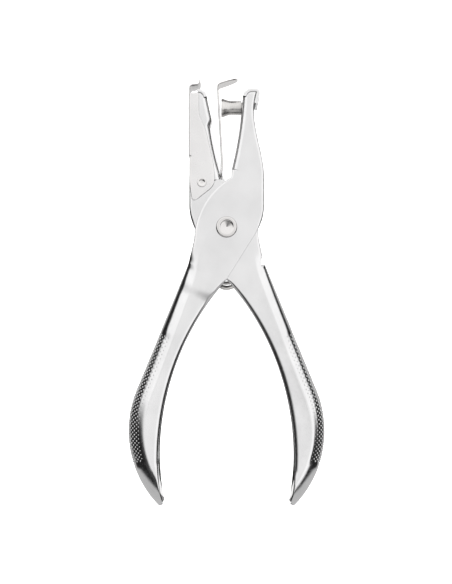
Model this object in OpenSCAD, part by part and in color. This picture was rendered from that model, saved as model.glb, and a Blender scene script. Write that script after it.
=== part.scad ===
// Hole punch pliers, lying flat with the handles spread. Two channel levers of folded steel sheet
// nest on one rivet. One jaw carries the punch pin, the other the die hole, the stripper leaf and
// a swinging chip catcher, and a torsion spring between the handles opens the jaws.
// Millimetres. +Y runs towards the jaws, +Z up, with the origin under the pivot on the table.

/* [Levers] */
// Thickness of the lever sheet
sheet_t = 1.2; // [1:0.1:1.4]
// Half the width over the die lever's cheeks
die_half = 4.8; // [4.6:0.1:5.2]
// Side clearance between nested sheets
nest_gap = 0.15; // [0.1:0.05:0.25]
// Outer radius of the fold between a jaw's web and its cheeks
jaw_bend = 1.8; // [1.5:0.1:2.2]
// Distance from the pivot axis to the side edge of the head
head_side = 12.2; // [11.6:0.2:13]
// Radius of the round shoulder opposite the jaw
shoulder_r = 23.5; // [22:0.5:24]
// Angle that the levers close through
close_deg = 7.5; // [7:0.1:7.8]

/* [Handles] */
// Sideways distance from the pivot axis to the top of a handle's web
handle_x = 12.4; // [12:0.1:13]
// Downward distance from the pivot axis to the top of a handle's web
handle_y = 11.8; // [11:0.2:13]
// Angle between a handle's straight run and the tool's long axis
handle_lean = 22.6; // [21:0.2:24]
// Length of the straight run
handle_run = 44.4; // [40:0.2:48]
// Radius of the outer edge where the handle bows
bow_r = 35; // [33:0.5:38]
// Angle that the grip turns through below its widest place
bow_turn = 45; // [42:1:47]
// Distance from the pivot axis to the crotch between the handles
crotch = 17; // [16:0.5:18]
// Radius of the handle's inner edge
grip_r = 88; // [84:1:92]
// Angle at which the inner edge leaves the crotch
crotch_lean = 41.4; // [40:0.2:43]

/* [Jaws] */
// Height of the cheeks' top edge above the pivot axis
jaw_top = 43.3; // [42:0.1:44]
// Sideways place of the punch jaw's web at its top
punch_web_x = 5.16; // [4.8:0.02:5.6]
// Sideways place of the punch jaw's web at its foot
punch_foot_x = 1.66; // [1.5:0.02:2]
// Height of the foot of the punch jaw's web
punch_foot_y = 18.5; // [18:0.1:19.5]
// Radius of the punch jaw's web
punch_web_r = 127; // [110:1:140]
// Sideways place of the die jaw's web at its top
die_web_x = 6.3; // [6:0.02:6.6]
// Sideways place of the die jaw's web at its foot
die_foot_x = 1.66; // [1.4:0.02:1.9]
// Height of the foot of the die jaw's web
die_foot_y = 15.5; // [15:0.1:16]
// Radius of the die jaw's web
die_web_r = 104; // [95:1:120]
// Sideways place of the punch jaw's outer edge at its waist
waist_x = 8.9; // [8.6:0.1:9.4]
// Height of that waist
waist_y = 37.5; // [36:0.5:38.5]
// Sideways place of the die jaw's straight outer edge
die_edge_x = 10.9; // [10.6:0.1:11.2]

/* [Punch] */
// Diameter of the hole that the tool cuts
hole_d = 6; // [5:0.1:6.4]
// Diameter of the pin's neck
neck_d = 4.5; // [4:0.1:4.8]
// Diameter of the pin's tail in the web
tail_d = 3.4; // [3:0.1:3.8]
// Depth of the pin's axis below the jaws' top edge
punch_drop = 3.95; // [3.6:0.05:4.4]
// Sideways place of the pin's cutting end
punch_end_x = -1.7; // [-1.9:0.05:-1.5]
// Length of the flared cutting end
flare_l = 3.1; // [2.6:0.1:3.6]
// Length of the straight land behind the cutting edge
flare_land = 0.6; // [0.4:0.1:0.8]
// Depth of the dished end
dish_h = 0.8; // [0.5:0.1:1]
// Height of the tail's peened head
tail_head = 0.6; // [0.4:0.1:0.8]
// Radial clearance of the cutting end in the die hole
die_clear = 0.1; // [0.08:0.01:0.15]

/* [Stripper leaf] */
// Thickness of the leaf
leaf_t = 0.6; // [0.5:0.05:0.7]
// Width of the leaf
leaf_w = 8.6; // [8:0.2:9]
// Sideways place of the leaf beside the pin
leaf_x = -2.55; // [-2.7:0.05:-2.5]
// Height of the bend below the lead-in above the jaws' top edge
leaf_rise = 3.1; // [2.4:0.1:3.6]
// Length of the lead-in
lead_l = 7; // [6:0.5:8]
// Angle of the lead-in above the horizontal
lead_rise = 18; // [14:1:20]
// Length of the hook behind the die web
hook_l = 2; // [1.6:0.1:2.4]
// Half the width of the hook
hook_half = 2.6; // [2.2:0.1:2.8]
// Radial clearance of the leaf's hole around the pin
leaf_clear = 0.5; // [0.4:0.05:0.6]

/* [Rivets] */
// Diameter of the pivot rivet's shank
pivot_d = 5; // [4.4:0.1:5.4]
// Diameter of the pivot rivet's heads
pivot_head_d = 6.9; // [6.6:0.1:7.6]
// Height of the pivot rivet's heads
pivot_head_h = 0.9; // [0.7:0.1:1.2]
// Radial running clearance on the rivets
run_clear = 0.05; // [0.03:0.01:0.08]
// Diameter of the catcher rivet's shank
catch_d = 1.9; // [1.7:0.1:2]
// Diameter of the catcher rivet's heads
catch_head_d = 3.1; // [2.8:0.1:3.4]
// Height of the catcher rivet's heads
catch_head_h = 0.6; // [0.5:0.1:0.8]

/* [Chip catcher] */
// Thickness of the catcher's sheet
catch_t = 0.5; // [0.4:0.05:0.6]
// Sideways place of the catcher's rivet
catch_x = -7.96; // [-8.2:0.02:-7.8]
// Height of the catcher's rivet above the pivot
catch_y = 14.4; // [14:0.1:14.8]
// Sideways place of the outside of the catcher's web
catch_web_x = 12.3; // [12.2:0.1:12.8]
// Depth of the catcher's upper cheeks
catch_depth = 3.4; // [3:0.1:3.8]
// Height of the catcher's closing strip above the jaws' top edge
strip_rise = 2.8; // [2.5:0.1:3.4]
// Height of the thumb tab above that strip
tab_h = 1.8; // [1.4:0.1:2.4]

/* [Spring] */
// Diameter of the spring wire
wire_d = 1.1; // [0.9:0.05:1.1]
// Mean radius of the coil
coil_r = 4.2; // [4:0.1:4.5]
// Rise of one turn
coil_pitch = 1.6; // [1.55:0.05:1.65]
// Distance from the pivot axis to the coil's axis
coil_y = 15.2; // [15:0.1:15.6]

/* [Hidden] */
$fn = 64;
// Arc steps of the outlines, and the depth that joined sheets share
arc_steps = 12;
overlap = 0.3;
// A lapped sheet lies this much inside the sheet that it joins
lap = 0.01;
// Clearance of a seat that does not move
seat = 0.02;

punch_half = die_half + nest_gap + sheet_t;
catch_half = die_half + nest_gap + catch_t;
mid_z = punch_half + run_clear + pivot_head_h;
punch_y = jaw_top - punch_drop;
leaf_top = jaw_top + leaf_rise;
strip_y = jaw_top + strip_rise;
nickel = [0.86, 0.86, 0.85];
steel = [0.62, 0.62, 0.63];

// Points of an arc about c, from angle a to angle b
function arc(c, r, a, b, steps = arc_steps) =
    [for (i = [0 : steps]) c + r * [cos(a + (b - a) * i / steps), sin(a + (b - a) * i / steps)]];
// Centre of the arc of radius r from p up to q, bulging to the right
function arc_centre(p, q, r) =
    let (m = (p + q) / 2, h = norm(q - p) / 2, u = (q - p) / (2 * h))
    m + sqrt(r * r - h * h) * [-u.y, u.x];
function angle_of(v) = atan2(v.y, v.x);
function unit(v) = v / norm(v);
function smooth(u) = u * u * (3 - 2 * u);
// Outline of a strip of thickness t along a path, with mitred corners
function normal(a, b) = let (d = unit(b - a)) [-d.y, d.x];
function side(path, off) =
    let (last = len(path) - 1)
    [for (i = [0 : last])
        let (m = normal(path[max(i - 1, 0)], path[max(i, 1)]),
            n = normal(path[min(i, last - 1)], path[min(i + 1, last)]))
        path[i] + off * (m + n) / (1 + m * n)];
function reversed(v) = [for (i = [len(v) - 1 : -1 : 0]) v[i]];
function ribbon(path, t) = concat(side(path, t / 2), reversed(side(path, -t / 2)));

module slab(half) {
    translate([0, 0, -half]) linear_extrude(2 * half) children();
}

// Two flat cheeks of one outline, lapped into flanges whose outer faces are at plus and minus half
module cheeks(half, t, points) {
    for (z = [-half + lap, half - t + lap])
        translate([0, 0, z]) linear_extrude(t - 2 * lap) polygon(points);
}

// Section of a handle: a half-round web, its outer edge at x = 0, with flanges towards -x
module handle_section(half) {
    inner = half - sheet_t;
    polygon(concat(
        [[-handle_depth, -half]],
        arc([-half, 0], half, -90, 90, 20),
        [[-handle_depth, half], [-handle_depth, inner]],
        arc([-half, 0], inner, 90, -90, 20),
        [[-handle_depth, -inner]]));
}

// Section of a folded channel: a flat web, its outer face at x = 0, with flanges towards +x
module channel_section(half, t, bend, depth) {
    core = half - bend;
    polygon(concat(
        [[depth, -half]],
        arc([bend, -core], bend, 270, 180, 6),
        arc([bend, core], bend, 180, 90, 6),
        [[depth, half], [depth, half - t]],
        arc([bend, core], bend - t, 90, 180, 6),
        arc([bend, -core], bend - t, 180, 270, 6),
        [[depth, -half + t]]));
}

// Left handle: a straight run that flows into the bowed grip, trimmed by its inner edge
handle_depth = 15;
handle_down = [-sin(handle_lean), -cos(handle_lean)];
handle_in = [cos(handle_lean), -sin(handle_lean)];
handle_start = [-handle_x, -handle_y];
bow_centre = handle_start + handle_run * handle_down + bow_r * handle_in;
grip_centre = [0, -crotch] + grip_r * [cos(crotch_lean), -sin(crotch_lean)];

module handle(half) {
    translate([bow_centre.x, bow_centre.y, 0]) rotate([0, 0, 180 - handle_lean]) {
        translate([bow_r, 0, 0]) rotate([90, 0, 0])
            linear_extrude(handle_run) handle_section(half);
        rotate_extrude(angle = handle_lean + bow_turn)
            translate([bow_r, 0]) handle_section(half);
    }
}

module grip_cut(half) {
    translate([grip_centre.x, grip_centre.y, -half - 1])
        cylinder(r = grip_r, h = 2 * half + 2, $fn = 256);
}

// A jaw's web runs on an arc from its foot to its top, which lies below the bend over the jaw
web_top_y = jaw_top - 1.3;
punch_foot = [punch_foot_x, punch_foot_y];
punch_top = [punch_web_x, web_top_y];
die_foot = [die_foot_x, die_foot_y];
die_top = [die_web_x, web_top_y];
fold_in = jaw_bend + overlap;

module jaw_channel(half, foot, top, r) {
    c = arc_centre(foot, top, r);
    past = atan(overlap / r);
    a = angle_of(foot - c) - past;
    translate([c.x, c.y, 0]) rotate([0, 0, a])
        rotate_extrude(angle = angle_of(top - c) + past - a)
        translate([r, 0]) channel_section(half, sheet_t, jaw_bend, jaw_bend + 3 * overlap);
}

// The web bends over the jaw's top and may end in a lip down the outer side
cap_r = 2.2;
cap_inset = 0.6;
lip_r = 1;
lip_turn = 100;
lip_in = 0.7;
punch_lip = 3.4;
punch_cap_run = 1.25;
die_cap_run = 0.4;
function cap_path(foot, top, r, run, lip) =
    let (c = arc_centre(foot, top, r), b = angle_of(top - c), past = atan(overlap / r),
        mid = r + sheet_t / 2, bend = c + (mid + cap_r) * [cos(b), sin(b)],
        e = bend + [run, cap_r - lip_r])
    concat(arc(c, mid, b - past, b, 1), arc(bend, cap_r, 180 + b - 5, 90, 8),
        lip == 0 ? [bend + [run, cap_r]]
            : concat(arc(e, lip_r, 90, 90 - lip_turn, 8), [e + [lip_r - lip_in, -lip]]));

module jaw_cap(half, foot, top, r, run, lip) {
    slab(half - cap_inset) polygon(ribbon(cap_path(foot, top, r, run, lip), sheet_t - 2 * lap));
}

// Outer edge of each jaw, from the top down to the side of the head
side_y = 7;
side_top_y = 16;
side_r = 16;
edge_steps = 14;
punch_lip_x = 10.3;
function punch_edge_x(y) = y > waist_y
    ? waist_x + (punch_lip_x - waist_x) * pow((y - waist_y) / (jaw_top + 1.5 - waist_y), 2)
    : waist_x + (head_side - waist_x) * smooth((waist_y - y) / (waist_y - side_top_y));
flare_top_y = 29;
function die_edge(y) =
    let (u = (flare_top_y - y) / (flare_top_y - side_top_y))
    die_edge_x + (head_side - die_edge_x) * smooth(min(1, max(0, u)));
edge_y = [for (i = [0 : edge_steps]) jaw_top + (side_top_y - jaw_top) * i / edge_steps];
punch_edge = [for (y = edge_y) [punch_edge_x(y), y]];
die_edge_points = [for (y = edge_y) [die_edge(y), y]];

// Outline of a lever's cheeks inside its folds, for a lever with its jaw on the right
shoulder_c = [13, -4.5];
function head_side_arc() =
    let (c = [head_side - side_r, side_y], d = [0, -crotch] - c)
    arc(c, side_r, 0, angle_of(d) + acos(side_r / norm(d)));
function shoulder_end(foot) = 180 - asin((min(foot.y - 0.5, 16) - shoulder_c.y) / shoulder_r);
function cheek_outline(half, foot, top, r, edge) =
    let (c = arc_centre(foot, top, r), a = angle_of(foot - c), b = angle_of(top - c),
        rim = head_side_arc(), apex = [0, -crotch], last = rim[len(rim) - 1],
        corner = [top.x + sheet_t / 2 + cap_r, jaw_top - cap_r + sheet_t / 2 + overlap],
        slit = handle_start - overlap * handle_down, inner = (half + overlap) * handle_in)
    concat(edge, rim, [apex + sheet_t * unit(apex - last)],
        [handle_start + (handle_depth - overlap) * handle_in + 2 * handle_down,
            handle_start + inner + 2 * handle_down, slit + inner, slit + overlap * handle_in],
        arc(shoulder_c, shoulder_r, 180, shoulder_end(foot)),
        [foot + overlap / 3 * unit(foot - c)], arc(c, r + fold_in, a, b),
        [top + (sheet_t + overlap / 3) * unit(top - c)],
        arc(corner, cap_r - sheet_t / 2 - overlap, 180, 90, 6));

module lever(half, foot, top, r, edge) {
    jaw_channel(half, foot, top, r);
    difference() {
        union() {
            cheeks(half, sheet_t, cheek_outline(half, foot, top, r, edge));
            handle(half);
        }
        grip_cut(half);
    }
}

// The pin's axis in the open tool, along -X from the punch web, and turned with the closed lever
module along_punch() {
    translate([0, punch_y, 0]) rotate([0, -90, 0]) children();
}

module bore(d) {
    cylinder(d = d, h = 4 * punch_half, center = true);
}

module die_lever() {
    color(nickel) translate([0, 0, mid_z]) difference() {
        mirror([1, 0, 0]) union() {
            lever(die_half, die_foot, die_top, die_web_r, die_edge_points);
            jaw_cap(die_half, die_foot, die_top, die_web_r, die_cap_run, 0);
        }
        bore(pivot_d + 2 * seat);
        translate([catch_x, catch_y, 0]) bore(catch_d + 2 * seat);
        rotate([0, 0, close_deg]) along_punch()
            cylinder(d = hole_d + 2 * die_clear, h = die_edge_x - sheet_t);
    }
}

// Face of the punch web at height y, at a depth into the sheet
punch_web_c = arc_centre(punch_foot, punch_top, punch_web_r);
function punch_face_x(y, depth = 0) =
    punch_web_c.x + sqrt(pow(punch_web_r + depth, 2) - pow(y - punch_web_c.y, 2));

module punch_lever() {
    color(nickel) translate([0, 0, mid_z]) difference() {
        union() {
            lever(punch_half, punch_foot, punch_top, punch_web_r, punch_edge);
            jaw_cap(punch_half, punch_foot, punch_top, punch_web_r, punch_cap_run, punch_lip);
        }
        bore(pivot_d + 2 * run_clear);
        along_punch() translate([0, 0, -punch_face_x(punch_y) - 2 * sheet_t])
            cylinder(d = tail_d + 2 * seat, h = 3 * sheet_t);
    }
}

// Raised round rim with a conical dimple, as a set rivet has
module rivet_head(d, h) {
    rim = 0.8 * h;
    rotate_extrude() polygon(concat(
        [[0, 0], [d / 2, 0]],
        arc([d / 2 - rim, h - rim], rim, 0, 90, 6),
        [[d / 2 - 1.2 * rim, h], [d / 10, h * 0.4], [0, h * 0.4]]));
}

module pivot_rivet() {
    reach = punch_half + run_clear;
    color(steel) translate([0, 0, mid_z]) {
        translate([0, 0, -reach - overlap]) cylinder(d = pivot_d, h = 2 * (reach + overlap));
        translate([0, 0, reach]) rivet_head(pivot_head_d, pivot_head_h);
        translate([0, 0, -mid_z])
            cylinder(d1 = pivot_head_d - pivot_head_h, d2 = pivot_head_d, h = pivot_head_h);
    }
}

// Hollow-ground pin: the flared end is dished, so that its rim cuts from the outside in
module punch_pin() {
    seat_x = punch_face_x(punch_y - neck_d / 2) - seat;
    head_x = punch_face_x(punch_y + neck_d / 2, sheet_t) + seat;
    neck = seat_x - punch_end_x;
    tail = head_x - punch_end_x;
    color(steel) translate([0, 0, mid_z]) translate([punch_end_x, punch_y, 0]) rotate([0, 90, 0])
        rotate_extrude() polygon(concat(
            [[0, dish_h]],
            [for (i = [1 : 5]) [hole_d / 2 * i / 5, dish_h * (1 - pow(i / 5, 2))]],
            [[hole_d / 2, flare_land], [neck_d / 2, flare_l], [neck_d / 2, neck], [tail_d / 2, neck],
                [tail_d / 2, tail], [neck_d / 2, tail], [neck_d / 2 - tail_head / 2, tail + tail_head],
                [0, tail + tail_head]]));
}

// The leaf hooks round the foot of the die web, stands off the die and leans out at the top
die_web_c = arc_centre(die_foot, die_top, die_web_r);
leaf_out = unit([die_foot.x - die_web_c.x, die_web_c.y - die_foot.y]);
leaf_up = [-leaf_out.y, leaf_out.x];
leaf_foot = [-die_foot.x, die_foot.y] - overlap * leaf_up;
// The web curves towards the leaf by this much along the hook
leaf_bow = pow(hook_l + 3 * overlap, 2) / (2 * die_web_r);
leaf_off = seat + leaf_bow + leaf_t / 2;
leaf_knee = [leaf_x + 1.1, 21];
leaf_high = leaf_knee + (leaf_top - leaf_knee.y) * [(leaf_x - leaf_knee.x) / (punch_y - leaf_knee.y), 1];
function leaf_hook() = [
    leaf_foot - leaf_out * (sheet_t + leaf_off) + leaf_up * hook_l,
    leaf_foot - leaf_out * (sheet_t + leaf_off) - leaf_up * leaf_off,
    leaf_foot + leaf_out * leaf_off - leaf_up * leaf_off,
    leaf_foot + leaf_out * leaf_off + leaf_up * (hook_l + 2 * overlap)];

// Half disc that rounds the end of the lead-in
module leaf_end() {
    r = leaf_w / 2;
    rotate([90, 0, 0]) translate([0, 0, lap - leaf_t / 2]) linear_extrude(leaf_t - 2 * lap)
        polygon(concat([[-overlap, -r]], arc([0, 0], r, -90, 90, 24), [[-overlap, r]]));
}

module stripper_leaf() {
    start = leaf_foot + leaf_out * leaf_off + leaf_up * hook_l;
    lead = leaf_high + (lead_l - leaf_w / 2) * [cos(lead_rise), sin(lead_rise)];
    color(nickel) translate([0, 0, mid_z]) difference() {
        union() {
            slab(hook_half) polygon(ribbon(leaf_hook(), leaf_t));
            slab(leaf_w / 2) polygon(ribbon([start, leaf_knee, leaf_high, lead], leaf_t));
            translate([lead.x, lead.y, 0]) rotate([0, 0, lead_rise]) leaf_end();
        }
        along_punch() cylinder(d = hole_d + 2 * leaf_clear, h = -2 * leaf_x);
    }
}

// Sheet channel over the die jaw's open side, with a strip over the top and a thumb tab
catch_foot_y = 23;
catch_bend = 1;
catch_edge_x = catch_depth - catch_web_x;
strip_r = 1.2;
function strip_path() =
    let (x = catch_t / 2 - catch_web_x, c = [x + strip_r, strip_y - strip_r])
    concat([[x, jaw_top - overlap]], arc(c, strip_r, 180, 90, 6), [[catch_edge_x, strip_y + 0.2]],
        [[catch_edge_x + 0.3, strip_y + tab_h]]);
catch_cheek = [[catch_bend - catch_web_x + overlap, 38], [catch_edge_x - overlap, 38], [catch_edge_x, 36.2],
    [-7.9, 34], [-6.9, 32], [-6.1, 29], [-5, 24], [-3.9, 19], [-3.9, 14.2], [-4.9, 12.6], [-9.6, 8.9],
    [-11.2, 8.7], [-12, 14], [-12, catch_foot_y], [catch_bend - catch_web_x + overlap, catch_foot_y]];

module chip_catcher() {
    color(nickel) translate([0, 0, mid_z]) difference() {
        union() {
            translate([-catch_web_x, catch_foot_y, 0]) rotate([90, 0, 0]) mirror([0, 0, 1])
                linear_extrude(jaw_top - catch_foot_y)
                channel_section(catch_half, catch_t, catch_bend, catch_depth);
            cheeks(catch_half, catch_t, catch_cheek);
            slab(catch_half - catch_bend) polygon(ribbon(strip_path(), catch_t));
        }
        translate([catch_x, catch_y, 0]) bore(catch_d + 2 * run_clear);
    }
}

module catcher_rivet() {
    reach = catch_half + run_clear;
    color(steel) translate([catch_x, catch_y, mid_z]) {
        cylinder(d = catch_d, h = 2 * reach + overlap, center = true);
        for (flip = [0, 180])
            rotate([flip, 0, 0]) translate([0, 0, reach]) rivet_head(catch_head_d, catch_head_h);
    }
}

// Torsion spring: a coil in the crotch with a leg to each handle's web, as one swept tube
coil_turns = 3;
leg_lean = 42;
wire_sides = 6;
rings_per_turn = 8;
coil_start = leg_lean;
coil_span = 360 * coil_turns + 180 - 2 * leg_lean;
coil_steps = round(coil_span * rings_per_turn / 360);
coil_h = coil_pitch * coil_span / 360;
coil = [for (i = [0 : coil_steps])
    let (t = i / coil_steps, a = coil_start + coil_span * t)
    [coil_r * cos(a), coil_r * sin(a) - coil_y, coil_h * (t - 0.5)]];
// The left leg leaves the coil on its tangent, drifts to the middle of the handle's channel and
// turns square to the web
leg_from = coil[coil_steps];
leg_start = [leg_from.x, leg_from.y];
leg_dir = [-sin(leg_lean), -cos(leg_lean)];
leg_reach = sheet_t + 3 * wire_d;
leg_bend = 1.2 * wire_d;
leg_l = ((leg_start - handle_start) * handle_in - leg_reach) / -(leg_dir * handle_in);
leg_knee = leg_start + leg_l * leg_dir;
leg_end = leg_knee - (leg_reach - sheet_t - 2 * overlap / 3) * handle_in;
function at(p, z) = [p.x, p.y, z];
left_leg = [
    at(leg_start + 0.5 * leg_l * leg_dir, leg_from.z / 2),
    at(leg_knee - leg_bend * leg_dir, 0),
    at(leg_knee - 0.15 * leg_bend * (leg_dir + handle_in), 0),
    at(leg_knee - leg_bend * handle_in, 0),
    at(leg_end, 0)];
right_leg = [for (p = reversed(left_leg)) [-p.x, p.y, -p.z]];
wire = concat(right_leg, coil, left_leg);
function ring(path, i) =
    let (d = unit(path[min(i + 1, len(path) - 1)] - path[max(i - 1, 0)]),
        u = unit(cross([0, 0, 1], d)), v = cross(d, u))
    [for (k = [0 : wire_sides - 1])
        path[i] + wire_d / 2 * (cos(360 * k / wire_sides) * u + sin(360 * k / wire_sides) * v)];
wire_points = [for (i = [0 : len(wire) - 1]) each ring(wire, i)];
wire_last = (len(wire) - 1) * wire_sides;
wire_faces = concat(
    [for (i = [0 : len(wire) - 2], k = [0 : wire_sides - 1], h = [0, 1])
        let (a = i * wire_sides + k, b = i * wire_sides + (k + 1) % wire_sides)
        h == 0 ? [a, a + wire_sides, b] : [b, a + wire_sides, b + wire_sides]],
    [for (k = [1 : wire_sides - 2]) [0, k, k + 1]],
    [for (k = [1 : wire_sides - 2]) [wire_last, wire_last + k + 1, wire_last + k]]);
// Least gap between points of the tube that are more than half a turn apart
wire_gap = min([for (i = [0 : len(wire) - 1], j = [i + rings_per_turn / 2 + 1 : 1 : len(wire) - 1],
    p = ring(wire, i), q = ring(wire, j)) norm(p - q)]);

module return_spring() {
    echo(least_gap_between_turns = wire_gap);
    color(steel) translate([0, 0, mid_z]) polyhedron(wire_points, wire_faces);
}

die_lever();
punch_lever();
pivot_rivet();
punch_pin();
stripper_leaf();
chip_catcher();
catcher_rivet();
return_spring();
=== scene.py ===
# %% [markdown]
# # Hole punch pliers
# The tool is two folded levers of nickel-plated sheet on one rivet. One jaw carries the punch pin,
# the other the die hole, a stripper leaf and a swinging chip catcher, and a torsion spring sits in
# the crotch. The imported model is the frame: it gives the bodies, the joints and the size. Polished
# metal shows every facet, so each piece is made again here as a fine surface in the same place.

# %% Load the frame
import math

import bmesh
import bpy
import numpy as np
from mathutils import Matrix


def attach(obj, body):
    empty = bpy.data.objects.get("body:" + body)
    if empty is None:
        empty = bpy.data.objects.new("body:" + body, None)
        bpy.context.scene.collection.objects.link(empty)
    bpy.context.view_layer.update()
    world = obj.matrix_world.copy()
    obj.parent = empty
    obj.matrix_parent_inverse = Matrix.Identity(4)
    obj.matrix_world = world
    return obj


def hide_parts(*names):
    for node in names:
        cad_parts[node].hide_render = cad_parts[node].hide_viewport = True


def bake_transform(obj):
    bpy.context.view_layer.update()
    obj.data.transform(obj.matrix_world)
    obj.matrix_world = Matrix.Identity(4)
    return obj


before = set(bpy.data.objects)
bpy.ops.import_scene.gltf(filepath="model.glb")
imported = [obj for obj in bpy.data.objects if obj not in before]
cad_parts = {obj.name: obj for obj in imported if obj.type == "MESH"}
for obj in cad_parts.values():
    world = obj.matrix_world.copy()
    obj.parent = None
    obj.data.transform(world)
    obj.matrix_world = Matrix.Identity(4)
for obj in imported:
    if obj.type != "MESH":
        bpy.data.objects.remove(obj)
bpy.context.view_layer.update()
scene = bpy.context.scene
MM = 0.001

# %% [markdown]
# ## Camera, floor and light
# The photograph looks straight down on the tool, so the camera hangs over the handles' middle and
# the frame's height is 187.6 mm in the plane of the upper cheeks. The paper glows a little, which
# keeps it white. Bright plating is only what it mirrors, and it is kept from mirroring the paper and
# the lamp, so the sky alone shapes it: a pale dome makes the flat cheeks almost white, the dark
# round the horizon draws thin lines along every rounded edge, and three low lights brighten the
# upright faces.

# %% Camera, floor and light
MID_Z = 7.1
VIEW_H = 187.6
VIEW_D = 320.0
VIEW_AT = (-0.2, -20.9)
CHEEK_Z = 13.2
FLOOR_HALF = 3.0

eye = bpy.data.cameras.new("photo_camera")
eye.sensor_fit = "VERTICAL"
eye.sensor_height = 24.0
eye.lens = eye.sensor_height * VIEW_D / VIEW_H
eye.clip_start = 0.01
camera = bpy.data.objects.new("photo_camera", eye)
camera.location = (VIEW_AT[0] * MM, VIEW_AT[1] * MM, (CHEEK_Z + VIEW_D) * MM)
scene.collection.objects.link(camera)
scene.camera = camera

sheet = bpy.data.meshes.new("floor")
corner = np.array([[-1, -1, 0], [1, -1, 0], [1, 1, 0], [-1, 1, 0]], float) * FLOOR_HALF
sheet.from_pydata(corner.tolist(), [], [(0, 1, 2, 3)])
floor = bpy.data.objects.new("floor", sheet)
scene.collection.objects.link(floor)
paper = bpy.data.materials.new("white_paper")
paper.use_nodes = True
paper_shader = paper.node_tree.nodes["Principled BSDF"]
paper_shader.inputs["Base Color"].default_value = (0.94, 0.94, 0.94, 1)
paper_shader.inputs["Roughness"].default_value = 0.9
paper_shader.inputs["Specular IOR Level"].default_value = 0.1
paper_shader.inputs["Emission Color"].default_value = (1, 1, 1, 1)
paper_shader.inputs["Emission Strength"].default_value = 0.55
sheet.materials.append(paper)

lamp = bpy.data.lights.new("overhead_softbox", "AREA")
lamp.size = 2.0
lamp.energy = 34.0
softbox = bpy.data.objects.new("overhead_softbox", lamp)
softbox.location = (0, 0, 1.2)
scene.collection.objects.link(softbox)
floor.visible_glossy = False
softbox.visible_glossy = False

world = bpy.data.worlds.new("light_tent")
scene.world = world
world.use_nodes = True
sky = world.node_tree
look = sky.nodes.new("ShaderNodeTexCoord")


def sky_ramp(direction, start, end, low, high):
    """Light that eases from low to high as the view direction's share along a vector goes from
    start to end."""
    share = sky.nodes.new("ShaderNodeVectorMath")
    share.operation = "DOT_PRODUCT"
    share.inputs[1].default_value = direction
    ramp = sky.nodes.new("ShaderNodeMapRange")
    ramp.interpolation_type = "SMOOTHSTEP"
    for socket, value in zip(("From Min", "From Max", "To Min", "To Max"), (start, end, low, high)):
        ramp.inputs[socket].default_value = value
    sky.links.new(look.outputs["Generated"], share.inputs[0])
    sky.links.new(share.outputs["Value"], ramp.inputs["Value"])
    return ramp.outputs["Result"]


def sky_math(operation, a, b):
    """The product, or the greater, of two lights."""
    node = sky.nodes.new("ShaderNodeMath")
    node.operation = operation
    sky.links.new(a, node.inputs[0])
    sky.links.new(b, node.inputs[1])
    return node.outputs["Value"]


# Each light: its direction, the shares where it starts and ends, and its strength there.
dome = sky_math("MULTIPLY", sky_ramp((0.0, 0.6, 1.0), 0.34, 0.52, 0.0, 1.0),
                sky_ramp((0.0, 0.0, 1.0), 0.86, 1.0, 1.52, 1.27))
dark_side = sky_ramp((-0.47, -0.88, 0.0), 0.18, 0.5, 1.0, 0.05)
dome = sky_math("MULTIPLY", dome, dark_side)
under = sky_ramp((0.12, 0.77, -1.0), 0.40, 0.80, 0.02, 0.82)
front = sky_ramp((0.0, -1.0, -0.2), 0.41, 0.54, 0.0, 0.76)
low = sky_ramp((0.0, -0.6, -1.0), 0.56, 0.72, 0.0, 0.72)
tent = sky_math("MAXIMUM", sky_math("MAXIMUM", dome, under), sky_math("MAXIMUM", front, low))
sky.links.new(tent, sky.nodes["Background"].inputs["Strength"])
sky.nodes["Background"].inputs["Color"].default_value = (1.0, 0.995, 0.99, 1)
scene.view_settings.view_transform = "Standard"
print("lens", round(eye.lens, 2), "mm at", VIEW_D, "mm over the cheeks")

# %% [markdown]
# ## Working with whole arrays
# Every surface below is a grid of points worked out in millimetres in one go, and then joined into
# four-sided faces. These few helpers do the joining, so that each piece is left with its formula.

# %% Array helpers
def unit(v):
    """Each vector divided by its own length; a zero vector stays zero."""
    return v / np.maximum(np.linalg.norm(v, axis=-1, keepdims=True), 1e-12)


def ease(t):
    """Runs from 0 to 1 with level ends: 3 t squared minus 2 t cubed, with t held between 0 and 1."""
    t = np.clip(t, 0, 1)
    return t * t * (3 - 2 * t)


def turn(deg):
    """Unit vectors in the plane at these angles in degrees: cosine and sine."""
    a = np.radians(deg)
    return np.stack([np.cos(a), np.sin(a)], axis=-1)


def angle_of(v):
    """Angle of a plane vector in degrees."""
    return math.degrees(math.atan2(v[1], v[0]))


def with_z(flat, z):
    """Plane points (x, y) with a third coordinate, which may differ from point to point."""
    return np.concatenate([flat, np.broadcast_to(z, flat.shape[:-1])[..., None]], axis=-1)


def grid_faces(rows, cols, first=0, closed=False):
    """Faces of a rows by cols grid of points numbered row by row; a closed grid joins its last
    column to its first."""
    a = np.arange(rows * cols).reshape(rows, cols) + first
    b = np.roll(a, -1, axis=1)
    if not closed:
        a, b = a[:, :-1], b[:, :-1]
    return np.stack([a[:-1], a[1:], b[1:], b[:-1]], axis=-1).reshape(-1, 4)


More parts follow.
